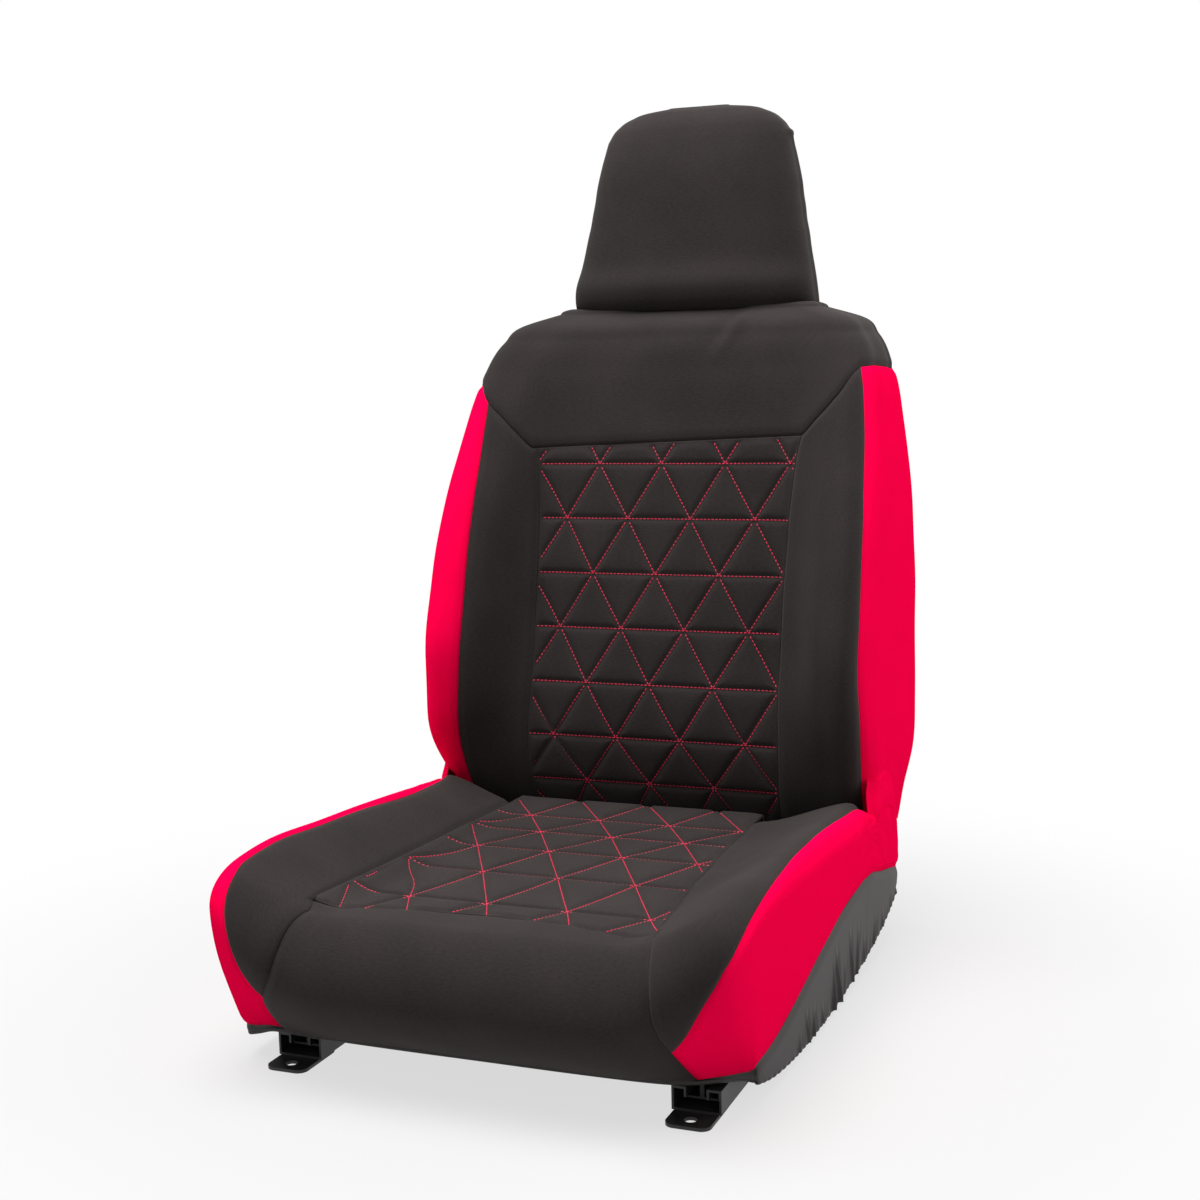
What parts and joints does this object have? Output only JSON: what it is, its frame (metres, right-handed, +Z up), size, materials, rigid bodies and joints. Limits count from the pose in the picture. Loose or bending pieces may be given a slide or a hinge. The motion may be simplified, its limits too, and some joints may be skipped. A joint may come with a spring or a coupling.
{
  "type": "car front seat",
  "caption": "Bucket-shaped front car seat in a fitted black and red cover, on slide rails, with a reclining back and a raising headrest.",
  "frame": {"origin": "centre of the four floor bolt holes, on the underside of the feet", "axes": "+Z up, -Y the way the seat faces, +X the sitter's left"},
  "size_m": [0.5097, 0.7302, 0.899],
  "materials": {
    "quilted_black_cloth": "foam-backed knit, quilted with red thread",
    "black_cloth": "matt foam-backed knit, faint nap",
    "elastic_black_cloth": "thin stretch knit, slight sheen",
    "red_cloth": "matt foam-backed knit",
    "foam": "moulded polyurethane foam",
    "black_plastic": "fine grained moulding",
    "chrome_rod": "polished plated rod",
    "plain_steel": "drawn wire and turned bar",
    "zinc_steel": "zinc plated pressing",
    "black_painted_steel": "thin satin black dip paint"
  },
  "bodies": {
    "floor_rails": {"lower_rail_left": "black_painted_steel", "lower_rail_right": "black_painted_steel", "front_floor_feet": "black_painted_steel", "rear_floor_feet": "black_painted_steel"},
    "carriage": {"cushion_bolster_left": "black_cloth", "cushion_bolster_right": "black_cloth", "cushion_front_roll": "black_cloth", "cushion_quilt": "quilted_black_cloth", "cushion_red_band_left": "red_cloth", "cushion_red_band_right": "red_cloth", "cushion_side_member_left": "black_painted_steel", "cushion_side_member_right": "black_painted_steel", "cushion_skirt_left": "elastic_black_cloth", "cushion_skirt_right": "elastic_black_cloth", "front_cross_tube": "black_painted_steel", "front_pan": "black_painted_steel", "latch_pivot_pins": "plain_steel", "rail_glides": "black_plastic", "rear_cross_tube": "black_painted_steel", "recliner_bracket_left": "zinc_steel", "recliner_bracket_right": "zinc_steel", "recliner_fixed_disc_left": "zinc_steel", "recliner_fixed_disc_right": "zinc_steel", "seat_springs": "plain_steel", "upper_rail_left": "black_painted_steel", "upper_rail_right": "black_painted_steel"},
    "backrest": {"back_bolster_left": "black_cloth", "back_bolster_right": "black_cloth", "back_hoop_tube": "black_painted_steel", "back_lower_cross_member": "black_painted_steel", "back_quilt": "quilted_black_cloth", "back_rear_panel": "black_cloth", "back_red_side_left": "red_cloth", "back_red_side_right": "red_cloth", "back_side_member_left": "black_painted_steel", "back_side_member_right": "black_painted_steel", "back_yoke": "black_cloth", "headrest_guide_bush_left": "black_plastic", "headrest_guide_bush_right": "black_plastic", "headrest_guide_tubes": "black_painted_steel", "lumbar_mat": "plain_steel", "recliner_turning_disc_left": "zinc_steel", "recliner_turning_disc_right": "zinc_steel"},
    "headrest": {"headrest_core": "black_plastic", "headrest_foam": "foam", "headrest_hood": "black_cloth", "headrest_posts": "chrome_rod"},
    "lever": {"recline_lever": "black_plastic", "recliner_cross_shaft": "plain_steel"},
    "slide_release": {"towel_bar": "black_painted_steel", "latch_plates": "zinc_steel"}
  },
  "joints": [
    {"name": "seat_slide", "type": "slide", "parent": "floor_rails", "child": "carriage", "axis": [0, 1, 0], "range_m": [-0.11, 0.1]},
    {"name": "backrest_recline", "type": "hinge", "parent": "carriage", "child": "backrest", "pos_m": [0, 0.215, 0.1], "axis": [-1, 0, 0], "range_deg": [-8, 45]},
    {"name": "headrest_height", "type": "slide", "parent": "backrest", "child": "headrest", "axis": [0, 0.2215, 0.9751], "range_m": [0, 0.06]},
    {"name": "lever_pull", "type": "hinge", "parent": "carriage", "child": "lever", "pos_m": [-0.25, 0.215, 0.1], "axis": [-1, 0, 0], "range_deg": [0, 25], "stiffness_Nm_per_rad": 3, "springref_deg": -8.59},
    {"name": "towel_bar_lift", "type": "hinge", "parent": "carriage", "child": "slide_release", "pos_m": [0, -0.06, 0.036], "axis": [-1, 0, 0], "range_deg": [0, 5.5], "stiffness_Nm_per_rad": 6, "springref_deg": -17.19}
  ]
}
